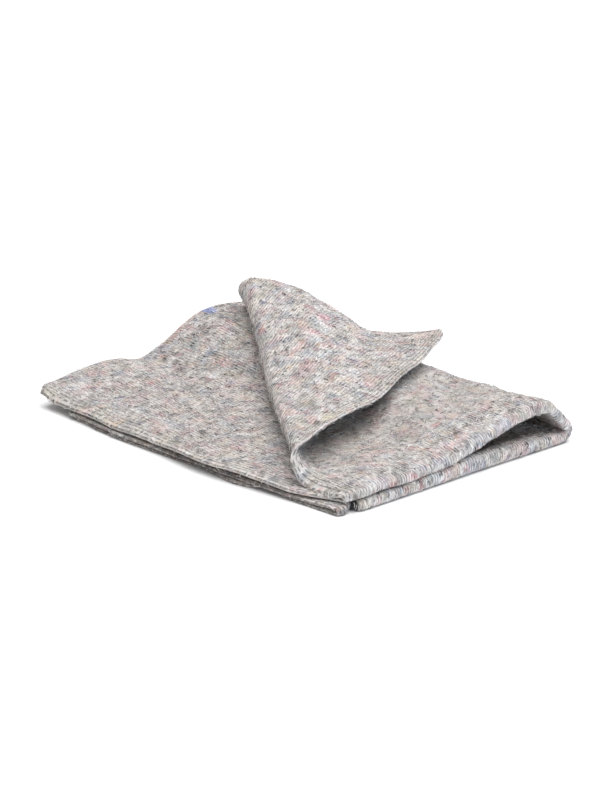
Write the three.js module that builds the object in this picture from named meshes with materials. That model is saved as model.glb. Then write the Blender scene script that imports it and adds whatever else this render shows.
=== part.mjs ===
// A felt pet blanket folded in quarters, with the loose corner of its top layer turned back.
//
// Millimetres, +Z up. The origin is on the floor under the middle of the folded blanket.
// The crosswise fold, made first, lies at +X as two stacked rolls. The lengthwise fold, made
// second, wraps round at +Y. The cloth's long edges lie at -Y and its cut ends at -X.
//
// The cloth is one sheet. A point of it has two flat coordinates: `along`, measured from the
// crosswise fold (plus on the outer layers, minus on the inner ones), and `across`, measured
// from the lengthwise fold (plus on the upper pair of layers, minus on the lower pair).
// The four layers are, from the top: outer upper, inner upper, inner lower and outer lower.

import * as THREE from "three";

const { clamp, lerp, smoothstep } = THREE.MathUtils;

// The cloth
const THICKNESS = 4.5;
// Half widths, from the lengthwise fold to each long edge
const HALF = { upper: 336, lower: 335 };
// How far each layer runs from the crosswise fold, along its long edge. The ends are cut out of square.
const REACH = { outerUpper: 435, innerUpper: 460, innerLower: 411, outerLower: 400 };
const CUT_CORNER = { depth: 6, run: 18 };

// The crosswise fold: a roll that is tight at the long edges and slack between them.
// It is set back where it meets a long edge, and away from it the layers close up to their usual pitch.
const FOLD_X = 198;
const FOLD_CORNER = { depth: 7, run: 28, fade: 60 };
const ROLL_RADII = [
  { across: HALF.upper, radius: 3.1 },
  { across: 250, radius: 4.5 },
  { across: 150, radius: 5.4 },
  { across: 75, radius: 5 },
  { across: 28, radius: 3.3 },
  { across: -25, radius: 3.3 },
  { across: -90, radius: 4.6 },
  { across: -260, radius: 4.5 },
  { across: -HALF.lower, radius: 3.3 },
];
const LAYER_HALF_PITCH = 3.1;
const ROLL_TAPER = 45;

// The lengthwise fold: the outer face of a pair of layers, seen along X, from the upper long edge
// round the fold to the lower one. Heights are given beside the crosswise fold and at the cut ends.
const WRAP_PATH = [
  { y: -200, zAtFold: 22.6, zAtEnds: 22.6 },
  { y: -150, zAtFold: 23.2, zAtEnds: 24 },
  { y: -100, zAtFold: 27.5, zAtEnds: 25.5 },
  { y: -50, zAtFold: 29.5, zAtEnds: 26 },
  { y: -6, zAtFold: 32, zAtEnds: 30.3 },
  { y: 20, zAtFold: 37.5, zAtEnds: 41 },
  { y: 45, zAtFold: 43, zAtEnds: 53.5 },
  { y: 70, zAtFold: 47, zAtEnds: 63 },
  { y: 95, zAtFold: 52.5, zAtEnds: 67 },
  { y: 117, zAtFold: 56, zAtEnds: 67.5 },
  { y: 135, zAtFold: 51.5, zAtEnds: 65 },
  { y: 153, zAtFold: 41.5, zAtEnds: 56 },
  { y: 166, zAtFold: 28.4, zAtEnds: 40 },
  { y: 171.5, zAtFold: 22.3, zAtEnds: 29 },
  { y: 173.5, zAtFold: 15, zAtEnds: 17.5 },
  { y: 171.5, zAtFold: 7.6, zAtEnds: 8 },
  { y: 166, zAtFold: 2.1, zAtEnds: 2.3 },
  { y: 157, zAtFold: 0.1, zAtEnds: 0.1 },
  { y: 140, zAtFold: 0, zAtEnds: 0 },
  { y: 60, zAtFold: 0, zAtEnds: 0 },
  { y: -200, zAtFold: 0, zAtEnds: 0 },
];
const WRAP_CHANGE = { from: 150, to: 430 };
// The inner layers have the shorter way round, so their long edges come out past the outer ones.
const EDGE_SLIP = { upper: 12, lower: 1.5, acrossRun: 40, alongRun: 80 };

// The turned-back corner: its crease runs from the long edge to the cut end of the top layer.
// The cloth climbs to the crease, turns over in a loose loop and lies back over the blanket.
const CREASE = {
  front: { along: 70, across: HALF.upper, climbRun: 24, climb: 16, radius: 3.1 },
  back: { along: 421, across: 77, climbRun: 36, climb: 7, radius: 11.3 },
};
// How far the flap falls from the top of the loop, in even steps out to its free corner,
// beside each of its two edges
const FLAP_FALL = [
  { atLongEdge: 0, atCutEnd: 0 },
  { atLongEdge: 1.8, atCutEnd: 1.2 },
  { atLongEdge: 13.8, atCutEnd: 21.5 },
  { atLongEdge: 15.6, atCutEnd: 27 },
  { atLongEdge: 8, atCutEnd: 8 },
];
// Past the ridge of the wrap the flap's bed goes on level. The ridge is this far from the lengthwise fold.
const RIDGE_ACROSS = { atFold: 78, atEnds: 52 };
const RIDGE_SHIFT = { from: 280, to: 420 };

// Soft waves, each about one point of the plan. A wave lifts its layer and all that lies on it,
// and pushes the layer's long edge out.
const WAVES = [
  { layer: "innerUpper", x: -262, y: -62, spanX: 110, spanY: 44, lift: 13, out: 0 },
  { layer: "innerUpper", x: 85, y: 116, spanX: 85, spanY: 26, lift: -9, out: 0 },
  { layer: "innerUpper", x: -190, y: -160, spanX: 70, spanY: 60, lift: 0, out: -7 },
  { layer: "innerUpper", x: 10, y: -160, spanX: 80, spanY: 60, lift: 0, out: 8 },
  { layer: "innerLower", x: 60, y: -165, spanX: 45, spanY: 40, lift: 3, out: 3 },
  { layer: "innerLower", x: -150, y: -165, spanX: 60, spanY: 40, lift: 3, out: 0 },
  { layer: "outerLower", x: 54, y: -160, spanX: 28, spanY: 40, lift: 0, out: 7 },
  { layer: "outerLower", x: 94, y: -160, spanX: 14, spanY: 40, lift: 0, out: -10 },
];

// The mesh: the cloth's lines along and across it, in stretches of even steps.
// Stretches are shares of the cloth's reach and of its half width.
const ALONG_STRETCHES = [
  { from: -1, to: -0.12, steps: 13 },
  { from: -0.12, to: -0.03, steps: 2 },
  { from: -0.03, to: 0.03, steps: 9 },
  { from: 0.03, to: 0.07, steps: 2 },
  { from: 0.07, to: 1, steps: 30 },
];
const ACROSS_STRETCHES = [
  { from: -1, to: -0.92, steps: 3 },
  { from: -0.92, to: -0.11, steps: 5 },
  { from: -0.11, to: 0.09, steps: 11 },
  { from: 0.09, to: 0.2, steps: 3 },
  { from: 0.2, to: 1, steps: 27 },
];
// The top layer's lines are drawn together round its crease.
const GATHER = { middle: 14, span: 45, strength: 0.6, fade: 60 };
// A small step along the cloth, for its direction at a point
const PROBE = 0.05;
const CURVE_STEPS = 2000;

const fromLongEdge = (across) => (across > 0 ? HALF.upper - across : HALF.lower + across);
const roundedCorner = (across, { depth, run }) => depth * Math.max(1 - fromLongEdge(across) / run, 0) ** 2;

// How far the cloth runs from the crosswise fold, on its outer or its inner layers.
function clothReach(across, lower, upper) {
  const share = (across + HALF.lower) / (HALF.upper + HALF.lower);
  return lerp(lower, upper, share) - roundedCorner(across, CUT_CORNER);
}
const outerReach = (across) => clothReach(across, REACH.outerLower, REACH.outerUpper);
const innerReach = (across) => clothReach(across, REACH.innerLower, REACH.innerUpper);

// One end's outline of the wrap, with lengths counted from its tip.
function wrapOutline(heightColumn) {
  const points = WRAP_PATH.map((row) => new THREE.Vector3(0, row.y, row[heightColumn]));
  const curve = new THREE.CatmullRomCurve3(points, false, "centripetal");
  curve.arcLengthDivisions = CURVE_STEPS;
  const total = curve.getLength();
  const tip = points.reduce((furthest, point, i) => (point.y > points[furthest].y ? i : furthest), 0);
  const tipLength = curve.getLengths()[Math.round((CURVE_STEPS * tip) / (points.length - 1))];
  return (across) => curve.getPointAt(clamp((tipLength - across) / total, 0, 1));
}

const outlineAtFold = wrapOutline("zAtFold");
const outlineAtEnds = wrapOutline("zAtEnds");

// The outer face of a pair at a distance from the crosswise fold.
function wrapFace(reach, across) {
  const share = smoothstep(reach, WRAP_CHANGE.from, WRAP_CHANGE.to);
  const point = outlineAtFold(across).lerp(outlineAtEnds(across), share);
  point.setX(FOLD_X - reach);
  point.setZ(Math.max(0, point.z));
  return point;
}

// A point at a depth under the outer face of a pair.
function underFace(reach, across, depth) {
  const ahead = wrapFace(reach, across + PROBE);
  const behind = wrapFace(reach, across - PROBE);
  const run = ahead.sub(behind).normalize();
  const outward = new THREE.Vector3(0, run.z, -run.y);
  return wrapFace(reach, across).addScaledVector(outward, -depth);
}

function rollRadius(across) {
  const next = Math.max(ROLL_RADII.findIndex((row) => row.across <= across), 1);
  const [start, end] = [ROLL_RADII[next - 1], ROLL_RADII[next]];
  return lerp(end.radius, start.radius, smoothstep(across, end.across, start.across));
}

// The crosswise fold seen along Y: how far back from it the cloth is, and how deep in its pair.
function rollSection(along, across) {
  const radius = rollRadius(across);
  const quarter = (Math.PI / 2) * radius;
  const fade = Math.exp(-((along / FOLD_CORNER.fade) ** 2));
  const setBack = fade * roundedCorner(across, FOLD_CORNER);
  if (Math.abs(along) < quarter) {
    const angle = along / radius;
    return {
      reach: setBack + radius * (1 - Math.cos(angle)),
      depth: THICKNESS / 2 + radius * (1 - Math.sin(angle)),
    };
  }
  const reach = setBack + radius + Math.abs(along) - quarter;
  if (along > 0) return { reach, depth: THICKNESS / 2 };
  const halfPitch = lerp(radius, LAYER_HALF_PITCH, smoothstep(reach, radius, ROLL_TAPER));
  return { reach, depth: THICKNESS / 2 + 2 * halfPitch };
}

function slippedAcross(along, across) {
  const slip = across > 0 ? EDGE_SLIP.upper : EDGE_SLIP.lower;
  return across + slip * smoothstep(-along, 0, EDGE_SLIP.alongRun) * Math.tanh(across / EDGE_SLIP.acrossRun);
}

const LAYERS_UPWARD = ["outerLower", "innerLower", "innerUpper", "outerUpper"];

function layerAt(along, across) {
  if (across > 0) return along > 0 ? "outerUpper" : "innerUpper";
  return along > 0 ? "outerLower" : "innerLower";
}

function addWaves(point, layer) {
  const level = LAYERS_UPWARD.indexOf(layer);
  const { x, y } = point;
  for (const wave of WAVES) {
    const strength = Math.exp(-(((x - wave.x) / wave.spanX) ** 2) - ((y - wave.y) / wave.spanY) ** 2);
    if (LAYERS_UPWARD.indexOf(wave.layer) <= level) point.z += wave.lift * strength;
    if (wave.layer === layer) point.y -= wave.out * strength;
  }
  return point;
}

// The blanket folded in quarters, before its corner is turned back.
function quarterFolded(along, across) {
  const { reach, depth } = rollSection(along, across);
  return addWaves(underFace(reach, slippedAcross(along, across), depth), layerAt(along, across));
}

// The top layer carried on level past the ridge of the wrap, as a bed for the flap.
function flapBed(along, across) {
  const shift = smoothstep(along, RIDGE_SHIFT.from, RIDGE_SHIFT.to);
  const ridgeAcross = lerp(RIDGE_ACROSS.atFold, RIDGE_ACROSS.atEnds, shift);
  if (across >= ridgeAcross) return quarterFolded(along, across);
  const ridge = quarterFolded(along, ridgeAcross);
  ridge.y += ridgeAcross - across;
  return ridge;
}

const creaseRun = new THREE.Vector2(
  CREASE.back.along - CREASE.front.along,
  CREASE.back.across - CREASE.front.across,
);
const creaseLength = creaseRun.length();
creaseRun.normalize();
const creaseOut = new THREE.Vector2(-creaseRun.y, creaseRun.x);
const pastCrease = (along, across) => {
  const from = new THREE.Vector2(along - CREASE.front.along, across - CREASE.front.across);
  return { past: from.dot(creaseOut), run: from.dot(creaseRun) };
};
const freeCorner = pastCrease(REACH.outerUpper, HALF.upper);

// A smooth curve through the flap's fall beside one edge, level where it leaves the loop.
function flapFall(share, column) {
  const last = FLAP_FALL.length - 1;
  const row = Math.min(Math.floor(share * last), last - 1);
  const falls = [-1, 0, 1, 2].map((step) => FLAP_FALL[Math.min(Math.abs(row + step), last)][column]);
  const t = share * last - row;
  const [before, start, end, after] = falls;
  const tangents = [(end - before) / 2, (after - start) / 2];
  const cube = 2 * start - 2 * end + tangents[0] + tangents[1];
  const square = 3 * end - 3 * start - 2 * tangents[0] - tangents[1];
  return cube * t ** 3 + square * t ** 2 + tangents[0] * t + start;
}

// The shape of the crease at a distance along it.
function creaseShape(run) {
  const between = (name) => lerp(CREASE.front[name], CREASE.back[name], run / creaseLength);
  const climb = between("climb");
  const climbRun = between("climbRun");
  return { climb, climbRun, radius: between("radius"), slope: Math.atan2(2 * climb, climbRun) };
}

// The top layer near and past the crease: how far out over its bed, and how high above it.
function creaseSection(past, run) {
  const { climb, climbRun, radius, slope } = creaseShape(run);
  if (past <= 0) return { out: past, height: climb * Math.max(1 + past / climbRun, 0) ** 2 };
  const loopLength = radius * (Math.PI - slope);
  const angle = slope + Math.min(past / radius, Math.PI - slope);
  const out = radius * (Math.sin(angle) - Math.sin(slope));
  if (past < loopLength) return { out, height: climb + radius * (Math.cos(slope) - Math.cos(angle)) };
  const flap = past - loopLength;
  const share = Math.min(flap / (freeCorner.past - loopLength), 1);
  const longEdgeRun = freeCorner.run * (past / freeCorner.past);
  const cutEndRun = lerp(creaseLength, freeCorner.run, past / freeCorner.past);
  const side = clamp((run - longEdgeRun) / Math.max(cutEndRun - longEdgeRun, 1), 0, 1);
  const loopTop = climb + radius * (Math.cos(slope) + 1);
  const fall = lerp(flapFall(share, "atLongEdge"), flapFall(share, "atCutEnd"), side ** 2);
  return { out: out - flap, height: loopTop - fall };
}

// The top layer by its distance past the crease and along it.
function turnedBack(past, run) {
  const { out, height } = creaseSection(past, run);
  const along = CREASE.front.along + creaseRun.x * run + creaseOut.x * out;
  const across = CREASE.front.across + creaseRun.y * run + creaseOut.y * out;
  const point = past > 0 ? flapBed(along, across) : quarterFolded(along, across);
  point.z += height;
  return point;
}

// The middle of the cloth's thickness at a flat point of the cloth.
function clothPoint(along, across) {
  if (along > 0 && across > 0) {
    const { past, run } = pastCrease(along, across);
    if (past > -CREASE.back.climbRun) return turnedBack(past, run);
  }
  return quarterFolded(along, across);
}

// A flat point moved towards the crease, so that the mesh is finest in its loop.
function gatheredAtCrease(along, across) {
  if (along < 0 || across < 0) return [along, across];
  const { past, run } = pastCrease(along, across);
  const share = clamp(run / creaseLength, 0, 1);
  const middle = past - GATHER.middle;
  const fade = smoothstep(along, 0, GATHER.fade) * smoothstep(across, 0, GATHER.fade);
  const shift = -fade * GATHER.strength * middle * Math.exp(-((middle / GATHER.span) ** 2));
  return [along + ((1 - share) * shift) / creaseOut.x, across + (share * shift) / creaseOut.y];
}

function stretchLines(stretches) {
  const lines = [stretches[0].from];
  for (const { from, to, steps } of stretches) {
    for (let i = 1; i <= steps; i++) lines.push(lerp(from, to, i / steps));
  }
  return lines;
}

// Both faces of the cloth at a flat point, half a thickness either side of its middle.
function clothFaces(alongShare, acrossShare) {
  const across = acrossShare * (acrossShare > 0 ? HALF.upper : HALF.lower);
  const along = alongShare * (alongShare > 0 ? outerReach(across) : innerReach(across));
  const [s, t] = gatheredAtCrease(along, across);
  const middle = clothPoint(s, t);
  const alongRun = clothPoint(s + PROBE, t).sub(clothPoint(s - PROBE, t));
  const acrossRun = clothPoint(s, t + PROBE).sub(clothPoint(s, t - PROBE));
  const normal = alongRun.cross(acrossRun).normalize();
  return [THICKNESS / 2, -THICKNESS / 2].map((offset) => middle.clone().addScaledVector(normal, offset));
}

// The sheet as one closed solid: an upper and a lower grid of points, joined round the edge.
function blanketGeometry() {
  const alongLines = stretchLines(ALONG_STRETCHES);
  const acrossLines = stretchLines(ACROSS_STRETCHES);
  const rows = alongLines.length;
  const columns = acrossLines.length;
  const faces = [[], []];
  for (const alongShare of alongLines) {
    for (const acrossShare of acrossLines) {
      clothFaces(alongShare, acrossShare).forEach((point, side) => faces[side].push(point));
    }
  }
  const points = [...faces[0], ...faces[1]];
  const at = (row, column, side) => side * rows * columns + row * columns + column;
  const triangles = [];
  const quad = (a, b, c, d) => triangles.push(a, b, c, a, c, d);
  for (let i = 0; i + 1 < rows; i++) {
    for (let j = 0; j + 1 < columns; j++) {
      quad(at(i + 1, j, 0), at(i + 1, j + 1, 0), at(i, j + 1, 0), at(i, j, 0));
      quad(at(i, j + 1, 1), at(i + 1, j + 1, 1), at(i + 1, j, 1), at(i, j, 1));
    }
  }
  const wall = (a, b) => quad(at(...b, 0), at(...a, 0), at(...a, 1), at(...b, 1));
  for (let i = 0; i + 1 < rows; i++) {
    wall([i, 0], [i + 1, 0]);
    wall([i + 1, columns - 1], [i, columns - 1]);
  }
  for (let j = 0; j + 1 < columns; j++) {
    wall([0, j + 1], [0, j]);
    wall([rows - 1, j], [rows - 1, j + 1]);
  }
  return new THREE.BufferGeometry().setFromPoints(points).setIndex(triangles);
}

// Moves a geometry so that the middle of its underside's box is the origin.
function setOnOrigin(geometry) {
  geometry.computeBoundingBox();
  const { min, max } = geometry.boundingBox;
  return geometry.translate(-(min.x + max.x) / 2, -(min.y + max.y) / 2, -min.z);
}

const felt = new THREE.MeshStandardMaterial({ color: 0xb6aeab, roughness: 0.95, metalness: 0 });
const blanket = new THREE.Mesh(setOnOrigin(blanketGeometry()), felt);
blanket.name = "blanket";

const foldedBlanket = new THREE.Group();
foldedBlanket.add(blanket);

export default foldedBlanket;
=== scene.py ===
# A felt pet blanket folded in quarters, with the loose corner of its top layer turned back.
#
# The cloth is one fine sheet on the folds of its solid, furrowed by its stitch rows, with the
# stitching threads in the furrows and loose fibres standing off it.

import math

import bpy
import numpy as np
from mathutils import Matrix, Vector
from mathutils.bvhtree import BVHTree


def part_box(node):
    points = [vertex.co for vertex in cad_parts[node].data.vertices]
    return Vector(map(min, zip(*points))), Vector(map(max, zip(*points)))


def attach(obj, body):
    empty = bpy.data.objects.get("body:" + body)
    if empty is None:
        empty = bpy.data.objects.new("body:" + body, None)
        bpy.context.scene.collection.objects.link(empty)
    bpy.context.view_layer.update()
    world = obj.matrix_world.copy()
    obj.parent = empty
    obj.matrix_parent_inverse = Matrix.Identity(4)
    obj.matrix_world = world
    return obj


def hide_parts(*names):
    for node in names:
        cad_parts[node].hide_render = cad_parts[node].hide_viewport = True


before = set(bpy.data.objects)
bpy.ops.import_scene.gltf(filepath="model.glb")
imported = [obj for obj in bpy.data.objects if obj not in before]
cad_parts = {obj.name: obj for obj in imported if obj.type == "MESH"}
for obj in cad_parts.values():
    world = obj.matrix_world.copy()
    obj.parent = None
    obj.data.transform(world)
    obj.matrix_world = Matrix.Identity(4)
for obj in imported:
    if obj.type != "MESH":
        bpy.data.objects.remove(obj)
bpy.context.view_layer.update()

# The folds are given in millimetres, in the cloth's own plan, and the pieces are made in metres.
# A point of the cloth has two flat coordinates: `along`, measured from the crosswise fold (plus on
# the outer layers, minus on the inner ones), and `across`, measured from the lengthwise fold (plus
# on the upper pair of layers, minus on the lower pair).
MM = 0.001

# The cloth
THICKNESS = 4.5
HALF_UPPER, HALF_LOWER = 336, 335
OUTER_REACH = (400, 435)  # along the outer layers, at the lower and the upper long edge
INNER_REACH = (411, 460)
CUT_CORNER_DEPTH, CUT_CORNER_RUN = 6, 18  # at the cut ends of the inner layers
OUTER_CORNER_RADIUS = 12
UPPER_FACE, LOWER_FACE = 1, -1  # named for the way they look on the outer upper layer
FACES = (UPPER_FACE, LOWER_FACE)

# The stitching: straight rows of thread along the cloth, each in its own furrow
STITCH_PITCH = 3.4
FURROW_DEPTH = 0.7
THREAD_RADIUS, THREAD_SIDES = 0.35, 3
THREAD_LIFT = 0.7  # how far a thread's middle lies over its furrow, as a share of its radius
ROW_TOLERANCE = 0.01  # how near to a row a line of the sheet carries its thread, in pitches
RIM_WIDTH = 17  # the felt thins out towards its long edges

# The upper face is napped, so that the rows hardly show on it, other than along its long edges and
# where the crosswise fold stretches it.
NAP_STARTS, NAP_FULL = 26, 60  # how far from the crosswise fold
NAP_HIDES_THREADS = 0.5  # the share of the full nap that covers them

# The sheet's maps. The underside's flecks are shifted by whole rows, so that they differ from the top's.
FLAT_MAP, RIM_MAP, NAP_MAP, OPEN_AIR_MAP = "flat_cloth", "rim", "nap", "open_air"
UNDERSIDE_ROWS = 900
UNDERSIDE_SHIFT = UNDERSIDE_ROWS * STITCH_PITCH * MM

# The crosswise fold: a roll that is tight at the long edges and slack between them
FOLD_X = 198
FOLD_CORNER_DEPTH, FOLD_CORNER_RUN, FOLD_CORNER_FADE = 7, 28, 60  # it curves back at the long edges
ROLL_RADII = [  # across, radius
    (-HALF_LOWER, 3.3),
    (-260, 4.3),
    (-205, 5.3),
    (-152, 7),
    (-122, 6.7),
    (-52, 4.9),
    (-25, 3.6),
    (28, 3.6),
    (75, 5.2),
    (130, 4.2),
    (162, 4.4),
    (193, 3.4),
    (250, 3.3),
    (HALF_UPPER, 3.1),
]
ROLL_FULLNESS = 0.75  # below 1 the roll is fuller than round, as soft cloth lies
LAYER_HALF_PITCH = 3.1  # half the distance between the middles of a pair's layers
ROLL_TAPER_UPPER, ROLL_TAPER_LOWER = 45, 30  # how far back the roll has flattened to that

# The lengthwise fold: the outer face of a pair of layers, from the upper long edge round to the lower
WRAP_PATH = [  # y, height beside the crosswise fold, height at the cut ends
    (-200, 22.6, 22.6),
    (-150, 23.2, 24),
    (-100, 27.5, 25.5),
    (-50, 29.5, 26),
    (-6, 32, 30.3),
    (20, 37.5, 41),
    (45, 43, 53.5),
    (70, 47, 63),
    (95, 52.5, 67),
    (117, 56, 67.5),
    (135, 51.5, 65),
    (153, 41.5, 56),
    (166, 28.4, 40),
    (171.5, 22.3, 29),
    (173.5, 15, 17.5),
    (171.5, 7.6, 8),
    (166, 2.1, 2.3),
    (157, 0.1, 0.1),
    (140, 0, 0),
    (60, 0, 0),
    (-200, 0, 0),
]
WRAP_CHANGE = (150, 430)  # how far back the one shape starts to turn to the other, and has turned
SLIP_UPPER, SLIP_LOWER = 12, 1.5  # how far the inner layers' long edges come out past the outer ones'
SLIP_ACROSS_RUN, SLIP_ALONG_RUN = 40, 80

# The turned-back corner's crease, from the long edge to the cut end of the top layer. The cloth
# climbs to it, loops over and falls to its corner, as a flap. Pairs are for the crease's two ends.
CREASE_FRONT = np.array([70.0, HALF_UPPER])  # along, across
CREASE_BACK = np.array([421.0, 77.0])
CLIMB_RUN = (24, 36)
CLIMB = (11.5, 7)
LOOP_RADIUS = (5.8, 12.3)
FALL_AT_LONG_EDGE = [0, 1.8, 13.8, 15.6, 8]  # in even steps from the loop to the corner
FALL_AT_CUT_END = [0, 0.2, 0.5, 1, 7.5, 12, 20.5, 30, 29, 26, 19, 12, 5]
# The ridge of the wrap, past which the flap's bed stays level: across, near the fold and at the ends
RIDGE_ACROSS = (78, 52)
RIDGE_SHIFT = (280, 420)  # along, where it starts to change and has changed

# Soft waves. A wave lifts its layer and all that lies on it, and pushes the layer's long edge out.
OUTER_LOWER, INNER_LOWER, INNER_UPPER, OUTER_UPPER = range(4)
WAVES = [  # layer, x, y, span in x, span in y, lift, out
    (INNER_UPPER, -262, -62, 110, 44, 13, 0),
    (INNER_UPPER, 85, 116, 85, 26, -9, 0),
    (INNER_UPPER, -190, -160, 70, 60, 0, -7),
    (INNER_UPPER, 10, -160, 80, 60, 0, 8),
    (INNER_LOWER, 60, -165, 45, 40, 3, 3),
    (INNER_LOWER, -150, -165, 60, 40, 3, 0),
    (OUTER_LOWER, 54, -160, 28, 40, 0, 7),
    (OUTER_LOWER, 94, -160, 14, 40, 0, -10),
]

# Slackness too fine for the solid: long low swells over the whole cloth, and short wrinkles
# on the top layer beside the crosswise fold
SWELLS = [  # wavelength in x, wavelength in y, lift, phase
    (148, 96, 0.8, 0.4),
    (-83, 120, 0.6, 2.1),
    (61, 74, 0.4, 4.0),
    (-44, 58, 0.25, 1.2),
]
SWELL_HEIGHTS = (6, 24)  # flat below the first height, fully swelling above the second
FOLD_WRINKLES = [  # along, half width, lift
    (21, 5, 0.7),
    (31, 5, -1.1),
    (43, 6, 0.8),
    (56, 7, -0.5),
]
FOLD_WRINKLE_Y, FOLD_WRINKLE_SPAN = 5, 60

# The upper pair droops a little into its roll at the crosswise fold.
FOLD_DROOP = [  # y, drop
    (-150, 0),
    (-110, 3),
    (-60, 4.5),
    (0, 5),
    (30, 5),
    (60, 3),
    (100, 1.5),
    (138, -1.5),
    (152, 5),
    (165, 5),
]
FOLD_DROOP_RUN = 44
# The lower roll is pinched in near the long edges.
PINCH_SPOT = (-136, 0, 6, 22)  # y, along, span in y, span along
PINCH_DEPTH, PINCH_SLANT = 11, 0.4
# Inside the wrap the two inner layers sag towards each other.
SAG_SPOT = (110, 112, 45, 36)  # x, y, span in x, span in y
SAG_UPPER, SAG_LOWER = -10, 4
# The upper pair dips in front of the flap, and the flap's long edge stands up and out over the dip.
DIPS = [  # x, y, span in x, span in y, depth
    (100, -98, 48, 42, 6.5),
    (62, -10, 46, 50, 11),
    (114, -42, 40, 45, 4),
    (97, 117, 45, 40, 3),
]
FLAP_EDGE_RUN = 80
FLAP_EDGE_OUT = [  # past the crease, shift
    (0, 0),
    (40, 2),
    (80, 5),
    (120, 9),
    (165, 9),
    (195, 4),
    (217, 0),
]
FLAP_EDGE_LIFT = [(20, 0), (60, 2), (110, 4), (165, 4), (210, 0)]  # past the crease, lift
FLAP_EDGE_WAY = (0.95, 0.31)  # of the shift, in x and y
# Where the top layer loops over at its crease, it closes in near its long edge, and the edge itself
# flares outward. Its cut end flares there too.
FLARE, FLARE_RUN = 5.5, 10
NECK, NECK_FROM_EDGE, NECK_SPAN = 2.8, 13, 9
END_FLARE, END_FLARE_RUN = 2.6, 70
FLARE_STRENGTH = [(-70, 0), (-20, 1), (25, 1), (70, 0.3), (120, 0)]  # past the crease, share
# The long edges droop and the layers settle on each other there. One layer's very edge curls down too.
INNER_LOWER_DROP = [  # x, drop
    (-240, 4.5),
    (-150, 5.6),
    (-60, 3.6),
    (0, 3.6),
    (60, 5.6),
    (110, 4.6),
    (150, 3.6),
    (180, 2),
]
INNER_UPPER_DROP = [
    (-262, 5),
    (-220, 5.5),
    (-145, 5.5),
    (-80, 3.5),
    (-30, 1.5),
    (20, 1.5),
    (60, 2.5),
    (100, 3),
    (154, 4.5),
    (190, 2),
]
INNER_UPPER_CURL = [(-262, 7), (-240, 4), (-200, 1.5), (-100, 1.5), (40, 1), (110, 0.5), (150, 0)]
OUTER_UPPER_DROP = [(90, 0), (124, 6), (150, 6), (172, 4), (190, 1)]
OUTER_LOWER_DROP = [(-300, 0.5), (300, 0.5)]
EDGE_DROPS = [  # layer, how far in from its long edge the drop starts, drop
    (OUTER_LOWER, 30, OUTER_LOWER_DROP),
    (INNER_LOWER, 45, INNER_LOWER_DROP),
    (INNER_UPPER, 26, INNER_UPPER_DROP),
    (OUTER_UPPER, 16, OUTER_UPPER_DROP),
    (INNER_UPPER, 9, INNER_UPPER_CURL),
]
LOWER_EDGES_SHIFT = [(-230, -9), (-190, -8), (-147, -2.5), (-120, 0)]  # x, how far further out
INNER_UPPER_SHIFT = [
    (-262, 1),
    (-250, 2),
    (-227, 6),
    (-197, 10),
    (-162, 11),
    (-131, 9.5),
    (-100, 6),
    (-58, 1),
]
EDGE_SHIFTS = [  # layer, shift of its long edge
    (INNER_UPPER, INNER_UPPER_SHIFT),
    (INNER_LOWER, LOWER_EDGES_SHIFT),
    (OUTER_LOWER, LOWER_EDGES_SHIFT),
]
EDGE_SHIFT_RUN = 60
EDGE_THINNING, EDGE_THINNING_RUN = 0.22, 30  # the felt is pressed thinner along its long edges
# Small swells of one place each, on the inner upper layer and what lies on it
SMALL_SWELLS = [  # x, y, span in x, span in y, lift
    (-245, -128, 24, 20, 3),
    (-253, -10, 45, 16, -3),
    (-256, -50, 40, 14, 1),
    (-250, 70, 45, 30, 3),
    (-256, -138, 12, 12, 7),
]

# The sheet's lines: rows in even steps over shares of the cloth's reach, columns at the furrows and
# halfway between them, and closer lines round the edge, which is rounded over its last millimetres
ALONG_STRETCHES = [  # share from, share to, steps
    (-1, -0.12, 24),
    (-0.12, -0.04, 4),
    (-0.04, 0.04, 26),
    (0.04, 0.08, 4),
    (0.08, 1, 55),
]
EDGE_STEPS = np.array([0, 0.25, 0.8, 1.6])  # the closer lines, from the edge inwards
EDGE_RUN = 3  # where the other lines start
EDGE_ROUND = 2.2
EDGE_LEAST = 0.01  # square of the share of its thickness that the very edge keeps
GATHER_MIDDLE, GATHER_SPAN = 14, 45  # past the crease, where rows are drawn together
GATHER_STRENGTH, GATHER_FADE = 0.6, 60
PROBE = 0.2  # step for the slope of a surface
CURVE_STEPS = 400  # between two points of the wrap's outline


def smoothstep(x, low, high):
    t = np.clip((x - low) / (high - low), 0, 1)
    return t * t * (3 - 2 * t)


def lerp(start, end, share):
    return start + (end - start) * share


def bell(place, middle, span):
    """1 at its middle, fading to both sides."""
    return np.exp(-(((place - middle) / span) ** 2))


def soft_spot(x, y, middle_x, middle_y, span_x, span_y):
    """1 at its middle, fading all round."""
    return np.exp(-(((x - middle_x) / span_x) ** 2) - ((y - middle_y) / span_y) ** 2)


def close_to(distance, run):
    """1 where a distance is nothing, fading to 0 where it is as long as the run."""
    return np.clip(1 - distance / run, 0, 1) ** 2


def between_rows(place, table):
    """A value that changes softly from each row of a table, a place and its value, to the next."""
    value = np.full_like(place, table[0][1])
    for (start, at_start), (end, at_end) in zip(table, table[1:]):
        value = np.where(place > start, lerp(at_start, at_end, smoothstep(place, start, end)), value)
    return value


def bent_line(start, end, leave, arrive, t):
    """A cubic curve from start to end, by the directions in which it leaves and arrives."""
    cube = 2 * start - 2 * end + leave + arrive
    square = 3 * end - 3 * start - 2 * leave - arrive
    return cube * t**3 + square * t**2 + leave * t + start


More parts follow.
